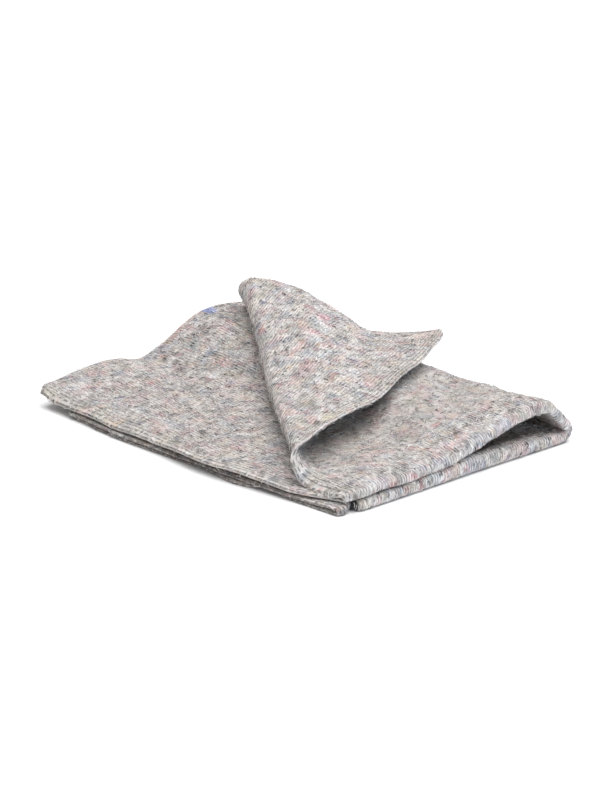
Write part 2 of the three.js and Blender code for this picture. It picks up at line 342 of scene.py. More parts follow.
def smooth_line(points):
    """A centripetal Catmull-Rom curve through the points, as a fine line, and the length up to each
    point of that line."""
    points = np.array(points, float)
    padded = np.vstack([2 * points[0] - points[1], points, 2 * points[-1] - points[-2]])
    t = np.linspace(0, 1, CURVE_STEPS, endpoint=False)[:, None]
    spans = []
    for before, start, end, after in zip(padded, padded[1:], padded[2:], padded[3:]):
        sides = ((before, start), (start, end), (end, after))
        first, step, last = (math.sqrt(math.dist(a, b)) for a, b in sides)
        leave = (start - before) * step / first - (end - before) * step / (first + step) + end - start
        arrive = end - start - (after - start) * step / (step + last) + (after - end) * step / last
        spans.append(bent_line(start, end, leave, arrive, t))
    line = np.vstack([*spans, points[-1:]])
    lengths = np.concatenate([[0], np.cumsum(np.linalg.norm(np.diff(line, axis=0), axis=1))])
    return line, lengths


def wrap_outline(height_column):
    """One end's outline of the wrap: y and z by the distance across the cloth from the wrap's tip."""
    line, lengths = smooth_line([(row[0], row[height_column]) for row in WRAP_PATH])
    tip = max(range(len(WRAP_PATH)), key=lambda i: WRAP_PATH[i][0])
    from_tip = lengths - lengths[tip * CURVE_STEPS]
    return lambda across: np.stack([np.interp(-across, from_tip, line[:, i]) for i in (0, 1)], -1)


outline_at_fold = wrap_outline(1)
outline_at_ends = wrap_outline(2)


def from_long_edge(across):
    return np.where(across > 0, HALF_UPPER - across, HALF_LOWER + across)


def rounded_corner(across, depth, run):
    """How far a line across the cloth curves back where it comes to a long edge."""
    return depth * np.maximum(1 - from_long_edge(across) / run, 0) ** 2


def cloth_reach(across, reach):
    """How far a layer goes from the crosswise fold to its cut end."""
    share = (across + HALF_LOWER) / (HALF_UPPER + HALF_LOWER)
    if reach == OUTER_REACH:
        short = np.clip(OUTER_CORNER_RADIUS - from_long_edge(across), 0, OUTER_CORNER_RADIUS)
        return lerp(*reach, share) - OUTER_CORNER_RADIUS + np.sqrt(OUTER_CORNER_RADIUS**2 - short**2)
    return lerp(*reach, share) - rounded_corner(across, CUT_CORNER_DEPTH, CUT_CORNER_RUN)


def wrap_face(reach, across):
    """The outer face of a pair of layers at a distance from the crosswise fold."""
    share = smoothstep(reach, *WRAP_CHANGE)[..., None]
    y, z = np.moveaxis(lerp(outline_at_fold(across), outline_at_ends(across), share), -1, 0)
    return np.stack([FOLD_X - reach, y, np.maximum(z, 0)], -1)


def under_face(reach, across, depth):
    """A point at a depth under that face."""
    run = wrap_face(reach, across + PROBE) - wrap_face(reach, across - PROBE)
    run /= np.linalg.norm(run, axis=-1, keepdims=True)
    outward = np.stack([np.zeros_like(reach), run[..., 2], -run[..., 1]], -1)
    return wrap_face(reach, across) - outward * depth[..., None]


def roll_section(along, across):
    """The crosswise fold seen along Y: how far back from it the cloth is, and how deep in its pair."""
    radius = between_rows(across, ROLL_RADII)
    quarter = math.pi / 2 * radius
    corner = rounded_corner(across, FOLD_CORNER_DEPTH, FOLD_CORNER_RUN)
    set_back = bell(along, 0, FOLD_CORNER_FADE) * corner
    angle = np.clip(along / radius, -math.pi / 2, math.pi / 2)
    straight = np.maximum(np.abs(along) - quarter, 0)
    round_parts = (np.cos(angle), np.sin(angle))
    outward, upward = (np.sign(part) * np.abs(part) ** ROLL_FULLNESS for part in round_parts)
    reach = set_back + radius * (1 - outward) + straight
    taper = np.where(across > 0, ROLL_TAPER_UPPER, ROLL_TAPER_LOWER)
    half_pitch = lerp(radius, LAYER_HALF_PITCH, smoothstep(reach, radius, taper))
    depth_in_roll = radius * (1 - upward)
    depth = np.where((straight > 0) & (along < 0), 2 * half_pitch, depth_in_roll)
    return reach, THICKNESS / 2 + depth


def slipped_across(along, across):
    """The inner layers have the shorter way round, so their long edges come out past the outer ones."""
    slip = np.where(across > 0, SLIP_UPPER, SLIP_LOWER)
    return across + slip * smoothstep(-along, 0, SLIP_ALONG_RUN) * np.tanh(across / SLIP_ACROSS_RUN)


def layer_at(along, across):
    upper = np.where(along > 0, OUTER_UPPER, INNER_UPPER)
    lower = np.where(along > 0, OUTER_LOWER, INNER_LOWER)
    return np.where(across > 0, upper, lower)


def quarter_folded(along, across):
    """The blanket folded in quarters, before its corner is turned back."""
    reach, depth = roll_section(along, across)
    x, y, z = np.moveaxis(under_face(reach, slipped_across(along, across), depth), -1, 0)
    layer = layer_at(along, across)
    lift, out = np.zeros_like(z), np.zeros_like(z)
    for wave_layer, *spot, wave_lift, wave_out in WAVES:
        strength = soft_spot(x, y, *spot)
        lift += np.where(layer >= wave_layer, wave_lift * strength, 0)
        out += np.where(layer == wave_layer, wave_out * strength, 0)
    return np.stack([x, y - out, z + lift], -1)


def flap_bed(along, across):
    """The top layer carried on level past the ridge of the wrap, as a bed for the flap."""
    ridge = lerp(*RIDGE_ACROSS, smoothstep(along, *RIDGE_SHIFT))
    bed = quarter_folded(along, np.maximum(across, ridge))
    bed[..., 1] += np.maximum(ridge - across, 0)
    return bed


crease_length = math.dist(CREASE_FRONT, CREASE_BACK)
crease_run = (CREASE_BACK - CREASE_FRONT) / crease_length
crease_out = np.array([-crease_run[1], crease_run[0]])


def past_crease(along, across):
    """How far a flat point is past the crease, and how far along it."""
    from_front = np.stack([along, across], -1) - CREASE_FRONT
    return from_front @ crease_out, from_front @ crease_run


corner_past, corner_run = past_crease(OUTER_REACH[1], HALF_UPPER)


def flap_fall(share, falls):
    """A smooth curve through the flap's fall beside one edge, level where it leaves the loop."""
    last = len(falls) - 1
    row = np.minimum((share * last).astype(int), last - 1)
    near_rows = (np.minimum(np.abs(row + step), last) for step in (-1, 0, 1, 2))
    before, start, end, after = (np.array(falls)[near_row] for near_row in near_rows)
    return bent_line(start, end, (end - before) / 2, (after - start) / 2, share * last - row)


def loop_turn(past, run):
    """The climb to the crease and its run, the loop's radius and its slope where it starts, and how
    far a point has turned in it."""
    share = run / crease_length
    climb, climb_run, radius = (lerp(*ends, share) for ends in (CLIMB, CLIMB_RUN, LOOP_RADIUS))
    slope = np.arctan2(2 * climb, climb_run)
    return climb, climb_run, radius, slope, np.clip(past / radius, 0, math.pi - slope)


def crease_section(past, run):
    """The top layer near and past the crease: how far out over its bed, and how high above it."""
    climb, climb_run, radius, slope, turn = loop_turn(past, run)
    out = radius * (np.sin(slope + turn) - np.sin(slope))
    height = climb + radius * (np.cos(slope) - np.cos(slope + turn))

    loop_length = radius * (math.pi - slope)
    flap = np.maximum(past - loop_length, 0)
    share = np.minimum(flap / (corner_past - loop_length), 1)
    long_edge_run = corner_run * past / corner_past
    cut_end_run = lerp(crease_length, corner_run, past / corner_past)
    side = np.clip((run - long_edge_run) / np.maximum(cut_end_run - long_edge_run, 1), 0, 1)
    fall = lerp(flap_fall(share, FALL_AT_LONG_EDGE), flap_fall(share, FALL_AT_CUT_END), side**2)

    climbing = climb * np.maximum(1 + past / climb_run, 0) ** 2
    return np.where(past <= 0, past, out - flap), np.where(past <= 0, climbing, height - fall)


def turned_back(past, run):
    """The top layer by its distance past the crease and along it."""
    out, height = crease_section(past, run)
    along = CREASE_FRONT[0] + crease_run[0] * run + crease_out[0] * out
    across = CREASE_FRONT[1] + crease_run[1] * run + crease_out[1] * out
    point = np.where((past > 0)[..., None], flap_bed(along, across), quarter_folded(along, across))
    point[..., 2] += height
    return point


def folded_point(along, across):
    """The middle of the cloth's thickness on the plain folds."""
    past, run = past_crease(along, across)
    by_the_crease = (along > 0) & (across > 0) & (past > -CLIMB_RUN[1])
    return np.where(by_the_crease[..., None], turned_back(past, run), quarter_folded(along, across))


def low_swells(x, y, z):
    """Long low swells, where the cloth lies high enough for them."""
    swell = sum(
        lift * np.sin(2 * math.pi * (x / length_x + y / length_y) + phase)
        for length_x, length_y, lift, phase in SWELLS
    )
    return swell * smoothstep(z, *SWELL_HEIGHTS)


def fold_wrinkles(along, across, y):
    """Short wrinkles on the top layer beside the crosswise fold."""
    wrinkle = sum(lift * bell(along, place, width) for place, width, lift in FOLD_WRINKLES)
    on_top = (along > 0) & (across > 0)
    return wrinkle * np.where(on_top, bell(y, FOLD_WRINKLE_Y, FOLD_WRINKLE_SPAN), 0)


def loop_flare(along, across):
    """How far the top layer's edges flare out of its loop, and the way that the loop faces there."""
    past, run = past_crease(along, across)
    from_edge = from_long_edge(across)
    from_cut_end = cloth_reach(across, OUTER_REACH) - along
    flare = FLARE * close_to(from_edge, FLARE_RUN)
    flare -= NECK * bell(from_edge, NECK_FROM_EDGE, NECK_SPAN)
    flare += END_FLARE * close_to(from_cut_end, END_FLARE_RUN)
    flare = np.where(layer_at(along, across) == OUTER_UPPER, flare * between_rows(past, FLARE_STRENGTH), 0)
    _, _, _, slope, turn = loop_turn(past, run)
    return flare, slope + turn


def slack_point(along, across):
    """The middle of the cloth's thickness, with its slackness."""
    point = folded_point(along, across)
    x, y, z = np.moveaxis(point, -1, 0)  # parts of the point itself, so a shift of x or y moves it
    layer = layer_at(along, across)
    past, _ = past_crease(along, across)
    on_flap = (layer == OUTER_UPPER) & (past > 0)
    from_edge = from_long_edge(across)

    # Swells, wrinkles and the droop into the roll
    lift = low_swells(x, y, z) + fold_wrinkles(along, across, y)
    for *spot, height in SMALL_SWELLS:
        lift += np.where(layer >= INNER_UPPER, height * soft_spot(x, y, *spot), 0)
    droop = between_rows(y, FOLD_DROOP) * close_to(FOLD_X - x, FOLD_DROOP_RUN)
    lift -= np.where(across > 0, droop, 0)

    # The flared edges of the loop
    flare, facing = loop_flare(along, across)
    x -= flare * np.sin(facing) * crease_out[0]
    y -= flare * np.sin(facing) * crease_out[1]
    lift -= flare * np.cos(facing)

    # The dips in front of the flap, and the flap's long edge over them
    for *spot, depth in DIPS:
        lift -= np.where((layer >= INNER_UPPER) & ~on_flap, depth * soft_spot(x, y, *spot), 0)
    by_flap_edge = np.where(on_flap, close_to(from_edge, FLAP_EDGE_RUN), 0)
    flap_out = between_rows(past, FLAP_EDGE_OUT)
    lift += between_rows(past, FLAP_EDGE_LIFT) * by_flap_edge
    x += FLAP_EDGE_WAY[0] * flap_out * by_flap_edge
    y += FLAP_EDGE_WAY[1] * flap_out * by_flap_edge

    # The long edges of all layers
    for edge_layer, run_in, drops in EDGE_DROPS:
        drop = between_rows(x, drops) * close_to(from_edge, run_in)
        lift -= np.where((layer == edge_layer) & ~on_flap, drop, 0)
    for edge_layer, shifts in EDGE_SHIFTS:
        shift = between_rows(x, shifts) * close_to(from_edge, EDGE_SHIFT_RUN)
        y -= np.where(layer == edge_layer, shift, 0)

    # The sag inside the wrap, and the pinch in the lower roll
    sag = soft_spot(x, y, *SAG_SPOT)
    lift += np.where(layer == INNER_UPPER, SAG_UPPER * sag, 0)
    lift += np.where(layer == INNER_LOWER, SAG_LOWER * sag, 0)
    pinched = np.where(across < 0, PINCH_DEPTH * soft_spot(y, along, *PINCH_SPOT), 0)
    x -= pinched
    y += pinched * PINCH_SLANT
    z += lift
    return point


def stretch_lines(stretches):
    lines = [np.linspace(start, end, steps, endpoint=False) for start, end, steps in stretches]
    return np.concatenate([*lines, [stretches[-1][1]]])


def gathered_at_crease(along, across, reach):
    """Rows drawn together round the crease, so that the sheet is finest in its loop."""
    past, _ = past_crease(along, across)
    from_middle = past - GATHER_MIDDLE
    fade = smoothstep(along, 0, GATHER_FADE) * smoothstep(across, 0, GATHER_FADE)
    fade *= smoothstep(reach - along, 0, GATHER_FADE)
    shift = -fade * GATHER_STRENGTH * from_middle * bell(from_middle, 0, GATHER_SPAN)
    return along + shift / crease_out[0]


def flat_grid():
    """The flat coordinates of the sheet's points, one row for each line across it."""
    half_rib = STITCH_PITCH / 2
    first = math.ceil((EDGE_RUN - HALF_LOWER) / half_rib)
    last = math.floor((HALF_UPPER - EDGE_RUN) / half_rib)
    inside = np.arange(first, last + 1) * half_rib
    columns = np.concatenate([EDGE_STEPS - HALF_LOWER, inside, HALF_UPPER - EDGE_STEPS[::-1]])
    outer, inner = cloth_reach(columns, OUTER_REACH), cloth_reach(columns, INNER_REACH)
    shares = stretch_lines(ALONG_STRETCHES)[:, None]
    body = shares * (np.where(shares > 0, outer, inner) - EDGE_RUN)
    body = gathered_at_crease(body, columns[None, :] + 0 * body, outer[None, :] - EDGE_RUN)
    along = np.vstack([EDGE_STEPS[:, None] - inner, body, outer - EDGE_STEPS[::-1, None]])
    return along, columns[None, :] + 0 * along


def with_normals(surface, along, across):
    """Points of a surface over the flat cloth, and the directions that stand on its upper side."""
    along_run = surface(along + PROBE, across) - surface(along - PROBE, across)
    across_run = surface(along, across + PROBE) - surface(along, across - PROBE)
    normals = np.cross(along_run, across_run)
    return surface(along, across), normals / np.linalg.norm(normals, axis=-1, keepdims=True)


along, across = flat_grid()
rows, columns = along.shape

# Where the cloth's plan lies in the part's frame: the middle of the plain folds' box is over the
# middle of the solid's, and they lie on the same floor.
plain, plain_normals = with_normals(folded_point, along, across)
plain_faces = np.concatenate([plain + side * plain_normals * THICKNESS / 2 for side in FACES])
plain_low, plain_high = plain_faces.min((0, 1)), plain_faces.max((0, 1))
solid_low, solid_high = (np.array(corner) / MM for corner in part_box("blanket"))
place = (solid_low + solid_high - plain_low - plain_high) / 2
place[2] = solid_low[2]

# The middle of the cloth's thickness, and how thick it is on both sides of that
middle, normals = with_normals(slack_point, along, across)
full_reach = np.where(along > 0, cloth_reach(across, OUTER_REACH), cloth_reach(across, INNER_REACH))
from_edge = np.minimum(full_reach - np.abs(along), from_long_edge(across))
rounding = np.sqrt(np.maximum(1 - np.maximum(1 - from_edge / EDGE_ROUND, 0) ** 2, EDGE_LEAST))
furrow = FURROW_DEPTH / 2 * (1 + np.cos(2 * math.pi * across / STITCH_PITCH))
furrow *= smoothstep(from_edge, 0, EDGE_ROUND)
pressed = 1 - EDGE_THINNING * close_to(from_long_edge(across), EDGE_THINNING_RUN)
half_thickness = THICKNESS / 2 * rounding * pressed - furrow

nap = smoothstep(np.abs(along), NAP_STARTS, NAP_FULL)
nap *= smoothstep(from_long_edge(across), RIM_WIDTH / 2, RIM_WIDTH)


def face_points(side, height):
    """Points of a face, by their height over the middle of the cloth's thickness, in metres."""
    points = middle + side * normals * height[..., None] + place
    points[..., 2] = np.maximum(points[..., 2], solid_low[2])
    return points * MM


def sheet_mesh():
    """The sheet as one closed mesh, with its flat coordinates in metres as a UV map."""
    count = rows * columns
    points = np.concatenate([face_points(side, half_thickness).reshape(-1, 3) for side in FACES])
    number = np.arange(count).reshape(rows, columns)
    meeting = (number[1:, :-1], number[1:, 1:], number[:-1, 1:], number[:-1, :-1])
    upper = np.stack(meeting, -1).reshape(-1, 4)
    lower = upper[:, ::-1] + count
    sides = (number[:, 0], number[-1, 1:], number[-2::-1, -1], number[0, -2:0:-1], number[:1, 0])
    rim = np.concatenate(sides)
    wall = np.stack([rim[1:], rim[:-1], rim[:-1] + count, rim[1:] + count], -1)
    quads = np.concatenate([upper, lower, wall])

    mesh = bpy.data.meshes.new("blanket_sheet")
    mesh.from_pydata(points.tolist(), [], quads.tolist())
    flat = np.stack([along, across], -1).reshape(-1, 2) * MM
    corners = quads.reshape(-1)
    corner_flat = flat[corners % count]
    underside = np.repeat(np.arange(len(quads)) // len(upper) == 1, 4)
    corner_flat[underside] += UNDERSIDE_SHIFT
    mesh.uv_layers.new(name=FLAT_MAP).data.foreach_set("uv", corner_flat.reshape(-1))
    rim_share = smoothstep(-from_long_edge(across), -RIM_WIDTH, -RIM_WIDTH / 2)
    for name, upper_share, lower_share in ((RIM_MAP, rim_share, rim_share), (NAP_MAP, nap, 0 * nap)):
        values = np.concatenate([upper_share, lower_share]).reshape(-1)
        mesh.attributes.new(name, "FLOAT", "POINT").data.foreach_set("value", values)
    mesh.shade_smooth()
    mesh.update()
    return mesh


def add_node(tree, kind, inputs=None, **settings):
    """A node with its settings. Each input is a value or another node's output."""
    node = tree.nodes.new(kind)
    for name, value in settings.items():
        setattr(node, name, value)
    for name, value in (inputs or {}).items():
        if isinstance(value, bpy.types.NodeSocket):
            tree.links.new(value, node.inputs[name])
        else:
            node.inputs[name].default_value = value
    return node


def colour(hex_value):
    """An sRGB hex colour as linear red, green, blue and alpha."""
    parts = [int(hex_value[i : i + 2], 16) / 255 for i in (1, 3, 5)]
    return [c / 12.92 if c <= 0.04045 else ((c + 0.055) / 1.055) ** 2.4 for c in parts] + [1]


def new_material(name, finish):
    """A material with the fixed values of its finish, its tree and its surface node."""
    material = bpy.data.materials.new(name)
    material.use_nodes = True
    tree = material.node_tree
    surface = tree.nodes["Principled BSDF"]
    for socket, value in finish.items():
        surface.inputs[socket].default_value = value
    return material, tree, surface


# Stitch-bonded felt of reclaimed fibres: a matte, soft grey, cloudy with the rags that went into it
# and flecked with tufts of their colours. The stitch rows show as pale lines with darker lines between
# them, partly the felt's own colour and partly painted shade of the ribbed relief, and they are plainest
# along the long edges, where the felt is thin.
WOOL_DARK, WOOL_MID, WOOL_LIGHT = "#7a7675", "#b5afac", "#d3cfcc"
WOOL_SIZE, WOOL_RANGE = 20.0, (0.34, 0.5, 0.63)
WOOL_DETAIL, WOOL_ROUGHNESS = 4, 0.8
WANDER_SIZE, WANDER, WANDER_DETAIL = 9.0, 3.0, 1  # how far the fibres stray from straight
TUFTS = [  # colour, size in millimetres, where it starts and is full in its noise, strength
    ("#c39494", 21.0, 0.48, 0.70, 0.48),
    ("#8797ab", 20.0, 0.48, 0.70, 0.38),
    ("#c4b69b", 21.0, 0.48, 0.70, 0.36),
    ("#91998e", 17.0, 0.48, 0.70, 0.32),
    ("#dddbd9", 7.0, 0.58, 0.72, 0.55),
    ("#4a474e", 8.0, 0.57, 0.72, 0.54),
    ("#151518", 7.0, 0.64, 0.72, 0.78),
    ("#b05b60", 14.0, 0.63, 0.82, 0.55),
    ("#4b6293", 13.0, 0.64, 0.82, 0.40),
    ("#b78c57", 12.0, 0.66, 0.82, 0.40),
]
TUFT_DETAIL, TUFT_ROUGHNESS = 2, 0.5
SEED_STEP = 37.7  # between the places in the noise that two colours of tuft are taken from
ROW_SHADE, ROW_SHADE_AT_RIM = 0.55, 0.38  # brightness that the painted shade and the felt's darker colour leave between two stitch rows
ROW_GAP = (0.23, 0.38)  # where the dark line between two rows starts and is full, in pitches from a row
GAP_LENGTH, GAP_WIDTH, GAP_RANGE = 4.2, 1.7, (0.28, 0.54)  # it is broken into short dashes
ROWS_THROUGH_NAP = 0.3  # how much of the dark lines still shows on the napped face
RIM_COLOUR, RIM_STRENGTH = "#a9a59d", 0.35
NAP_COLOUR, NAP_STRENGTH = "#8f8b86", 0.4
CLUMPS_AND_PAINTED_SHADE = [  # colour, face, along, across, half length, half width, strength of a clump that stands out, or of a spot of painted shade
    ("#7f95d2", LOWER_FACE, -437, 109, 13, 9, 0.85),
    ("#c98f74", UPPER_FACE, 25, 53, 8, 10, 0.7),
    ("#ece4ca", LOWER_FACE, 171, 327, 9, 8, 1),
    ("#cf939c", LOWER_FACE, 380, 219, 12, 8, 0.6),
    ("#4c4950", LOWER_FACE, 325, 216, 6, 4, 0.8),
    ("#3d3b38", LOWER_FACE, -238, 296, 9, 5, 0.8),
    ("#3d3b38", LOWER_FACE, 160, 320, 6, 4, 0.8),
    # The last two are painted shade at the pinch in the lower roll near its long edge: dark grey on the
    # roll's end and black in the pinch itself.
    ("#56534e", UPPER_FACE, 0, -329, 8, 7, 0.6),
    ("#0b0b0d", UPPER_FACE, 0, -314, 10, 6, 0.95),
]
CLUMP_CORE = 0.5  # share of its half length and width that has its full strength
RELIEF_STRENGTH, RELIEF_DEPTH = 0.7, 0.9
FELT_FINISH = {
    "Roughness": 0.95,
    "Specular IOR Level": 0.15,
    "Sheen Weight": 0.15,
    "Sheen Roughness": 0.6,
}


def wandering_fibres(tree, flat):
    """The flat coordinates, pushed to and fro as the fibres stray."""
    inputs = {"Vector": flat, "Scale": 1 / (WANDER_SIZE * MM), "Detail": WANDER_DETAIL}
    stray = add_node(tree, "ShaderNodeTexNoise", inputs, noise_dimensions="2D").outputs["Color"]
    centred = {0: stray, 1: (0.5, 0.5, 0.5)}
    sideways = add_node(tree, "ShaderNodeVectorMath", centred, operation="SUBTRACT").outputs[0]
    bent = {0: sideways, 1: (WANDER * MM,) * 3, 2: flat}
    return add_node(tree, "ShaderNodeVectorMath", bent, operation="MULTIPLY_ADD").outputs[0]


def wool_colour(tree, wool):
    """The cloudy grey of the mixed rags."""
    ramp = add_node(tree, "ShaderNodeValToRGB", {0: wool})
    stops = ramp.color_ramp.elements
    dark, mid, light = WOOL_RANGE
    stops[0].position, stops[0].color = dark, colour(WOOL_DARK)
    stops[1].position, stops[1].color = light, colour(WOOL_LIGHT)
    stops.new(mid).color = colour(WOOL_MID)
    return ramp.outputs["Color"]


def with_tufts(tree, mixed, wandering):
    """A colour with tufts of the rags' own colours strewn over it."""
    for i, (tint, size, starts, full, strength) in enumerate(TUFTS, 1):
        seed = SEED_STEP * i
        scaled = {0: wandering, 1: (1 / (size * MM),) * 3, 2: (seed, seed, 0)}
        place = add_node(tree, "ShaderNodeVectorMath", scaled, operation="MULTIPLY_ADD").outputs[0]
        inputs = {"Vector": place, "Scale": 1, "Detail": TUFT_DETAIL, "Roughness": TUFT_ROUGHNESS}
        tuft = add_node(tree, "ShaderNodeTexNoise", inputs, noise_dimensions="2D").outputs["Fac"]
        shares = {0: tuft, 1: starts, 2: full, 4: strength}
        share = add_node(tree, "ShaderNodeMapRange", shares).outputs[0]
        mix = {0: share, 6: mixed, 7: colour(tint)}
        mixed = add_node(tree, "ShaderNodeMix", mix, data_type="RGBA").outputs[2]
    return mixed


def with_clumps_and_painted_shade(tree, mixed, wandering):
    """A colour with the clumps that stand out, each in its place, and the spots of painted shade at the
    lower roll's pinch.
    """
    for tint, face, clump_along, clump_across, length, width, strength in CLUMPS_AND_PAINTED_SHADE:
        shift = UNDERSIDE_SHIFT if face == LOWER_FACE else 0
        centre = (clump_along * MM + shift, clump_across * MM + shift, 0)
        from_centre = {0: wandering, 1: centre}
        aside = add_node(tree, "ShaderNodeVectorMath", from_centre, operation="SUBTRACT").outputs[0]
        spans = {0: aside, 1: (length * MM, width * MM, 1)}
        spanned = add_node(tree, "ShaderNodeVectorMath", spans, operation="DIVIDE").outputs[0]
        away = add_node(tree, "ShaderNodeVectorMath", {0: spanned}, operation="LENGTH").outputs["Value"]
        shares = {0: away, 1: 1, 2: CLUMP_CORE, 4: strength}
        share = add_node(tree, "ShaderNodeMapRange", shares).outputs[0]
        mix = {0: share, 6: mixed, 7: colour(tint)}
        mixed = add_node(tree, "ShaderNodeMix", mix, data_type="RGBA").outputs[2]
    return mixed


def row_shade(tree, from_row, wandering, rim, napped):
    """The brightness that the broken dark lines between the stitch rows leave: partly painted shade of the
    ribbed relief, partly the felt's own darker colour.
    """
    starts, full = ROW_GAP
    between = {0: from_row, 1: starts, 2: full}
    line = add_node(tree, "ShaderNodeMapRange", between, interpolation_type="SMOOTHSTEP").outputs[0]

    stretch = (1 / (GAP_LENGTH * MM), 1 / (GAP_WIDTH * MM), 0)
    dashes = {0: wandering, 1: stretch}
    dash_place = add_node(tree, "ShaderNodeVectorMath", dashes, operation="MULTIPLY").outputs[0]
    inputs = {"Vector": dash_place, "Scale": 1, "Detail": 0}
    dash = add_node(tree, "ShaderNodeTexNoise", inputs, noise_dimensions="2D").outputs["Fac"]
    starts, full = GAP_RANGE
    broken = add_node(tree, "ShaderNodeMapRange", {0: dash, 1: starts, 2: full}).outputs[0]

    shades = {0: rim, 2: 1 - ROW_SHADE, 3: 1 - ROW_SHADE_AT_RIM}
    darkest = add_node(tree, "ShaderNodeMix", shades).outputs[0]
    bare = add_node(tree, "ShaderNodeMapRange", {0: napped, 3: 1, 4: ROWS_THROUGH_NAP}).outputs[0]
    dark = line
    for share in (broken, bare, darkest):
        dark = add_node(tree, "ShaderNodeMath", {0: dark, 1: share}, operation="MULTIPLY").outputs[0]
    return add_node(tree, "ShaderNodeMath", {0: 1, 1: dark}, operation="SUBTRACT").outputs[0]


def felt_material():
    material, tree, surface = new_material("stitch-bonded reclaimed-fibre felt", FELT_FINISH)
    flat = add_node(tree, "ShaderNodeUVMap", uv_map=FLAT_MAP).outputs["UV"]
    rim = add_node(tree, "ShaderNodeAttribute", attribute_name=RIM_MAP).outputs["Fac"]
    napped = add_node(tree, "ShaderNodeAttribute", attribute_name=NAP_MAP).outputs["Fac"]
    wandering = wandering_fibres(tree, flat)

    inputs = {"Vector": wandering, "Scale": 1 / (WOOL_SIZE * MM)}
    inputs |= {"Detail": WOOL_DETAIL, "Roughness": WOOL_ROUGHNESS}
    wool = add_node(tree, "ShaderNodeTexNoise", inputs, noise_dimensions="2D").outputs["Fac"]
    mixed = with_tufts(tree, wool_colour(tree, wool), wandering)
    mixed = with_clumps_and_painted_shade(tree, mixed, wandering)
    for where, strength, tint in ((rim, RIM_STRENGTH, RIM_COLOUR), (napped, NAP_STRENGTH, NAP_COLOUR)):
        weakened = {0: where, 1: strength}
        share = add_node(tree, "ShaderNodeMath", weakened, operation="MULTIPLY").outputs[0]
        mix = {0: share, 6: mixed, 7: colour(tint)}
        mixed = add_node(tree, "ShaderNodeMix", mix, data_type="RGBA").outputs[2]

    across_cloth = add_node(tree, "ShaderNodeSeparateXYZ", {0: flat}).outputs["Y"]
    in_pitches = {0: across_cloth, 1: 1 / (STITCH_PITCH * MM)}
    row = add_node(tree, "ShaderNodeMath", in_pitches, operation="MULTIPLY").outputs[0]
    from_row = add_node(tree, "ShaderNodeMath", {0: row, 1: 0.5}, operation="PINGPONG").outputs[0]
    shade = row_shade(tree, from_row, wandering, rim, napped)
    lined = {0: 1, 6: mixed, 7: shade}
    mixed = add_node(tree, "ShaderNodeMix", lined, data_type="RGBA", blend_type="MULTIPLY").outputs[2]
    tree.links.new(mixed, surface.inputs["Base Color"])

    relief = add_node(tree, "ShaderNodeMath", {0: from_row, 1: wool}, operation="ADD").outputs[0]
    inputs = {"Strength": RELIEF_STRENGTH, "Distance": RELIEF_DEPTH * MM, "Height": relief}
    bump = add_node(tree, "ShaderNodeBump", inputs).outputs["Normal"]
    tree.links.new(bump, surface.inputs["Normal"])
    return material


def patchy_material(name, finish, size, detail, spread, colours):
    """A material that changes from one colour to the next from patch to patch of the cloth."""
    material, tree, surface = new_material(name, finish)
    place = add_node(tree, "ShaderNodeTexCoord").outputs["Object"]
    inputs = {"Vector": place, "Scale": 1 / (size * MM), "Detail": detail}
    patches = add_node(tree, "ShaderNodeTexNoise", inputs).outputs["Fac"]
    ramp = add_node(tree, "ShaderNodeValToRGB", {0: patches})
    stops = ramp.color_ramp.elements
    while len(stops) < len(colours):
        stops.new(0.5)
    for stop, share, tint in zip(stops, np.linspace(*spread, len(colours)), colours):
        stop.position, stop.color = share, colour(tint)
    tree.links.new(ramp.outputs["Color"], surface.inputs["Base Color"])
    return material


# Bleached polyester filament: a pale thread with a faint gloss, greyer where the felt's fibres cover it
THREAD_PATCH, THREAD_PATCH_DETAIL, THREAD_SPREAD = 7, 2, (0.4, 0.62)
THREAD_COLOURS = ["#d4d1cd", "#7d7978"]
THREAD_FINISH = {"Roughness": 0.6, "Specular IOR Level": 0.3}


def thread_material():
    name = "bleached polyester stitching thread"
    patches = (THREAD_PATCH, THREAD_PATCH_DETAIL, THREAD_SPREAD)
    return patchy_material(name, THREAD_FINISH, *patches, THREAD_COLOURS)


def add_piece(name, mesh):
    piece = bpy.data.objects.new(name, mesh)
    bpy.context.scene.collection.objects.link(piece)
    return piece


def grown(base, tree, name, values):
    """What a geometry node tree makes of a base object, as a plain mesh."""
    maker = base.modifiers.new(name, "NODES")
    maker.node_group = tree
    for socket in tree.interface.items_tree:
        if socket.in_out == "INPUT" and socket.name in values:
            maker[socket.identifier] = values[socket.name]
    evaluated = base.evaluated_get(bpy.context.evaluated_depsgraph_get())
    mesh = bpy.data.meshes.new_from_object(evaluated)
    base.modifiers.remove(maker)
    mesh.name = name
    return mesh


def tree_with_inputs(name, inputs):
    tree = bpy.data.node_groups.new(name, "GeometryNodeTree")
    for label, kind in [("Geometry", "NodeSocketGeometry"), *inputs]:
        tree.interface.new_socket(label, in_out="INPUT", socket_type=kind)
    tree.interface.new_socket("Geometry", in_out="OUTPUT", socket_type="NodeSocketGeometry")
    return tree, add_node(tree, "NodeGroupInput").outputs


def end_tree(tree, made, material):
    """Gives out what a tree made, as a real mesh of one material."""
    whole = add_node(tree, "GeometryNodeRealizeInstances", {"Geometry": made}).outputs[0]
    made_of = {"Geometry": whole, "Material": material}
    finished = add_node(tree, "GeometryNodeSetMaterial", made_of).outputs[0]
    add_node(tree, "NodeGroupOutput", {"Geometry": finished})


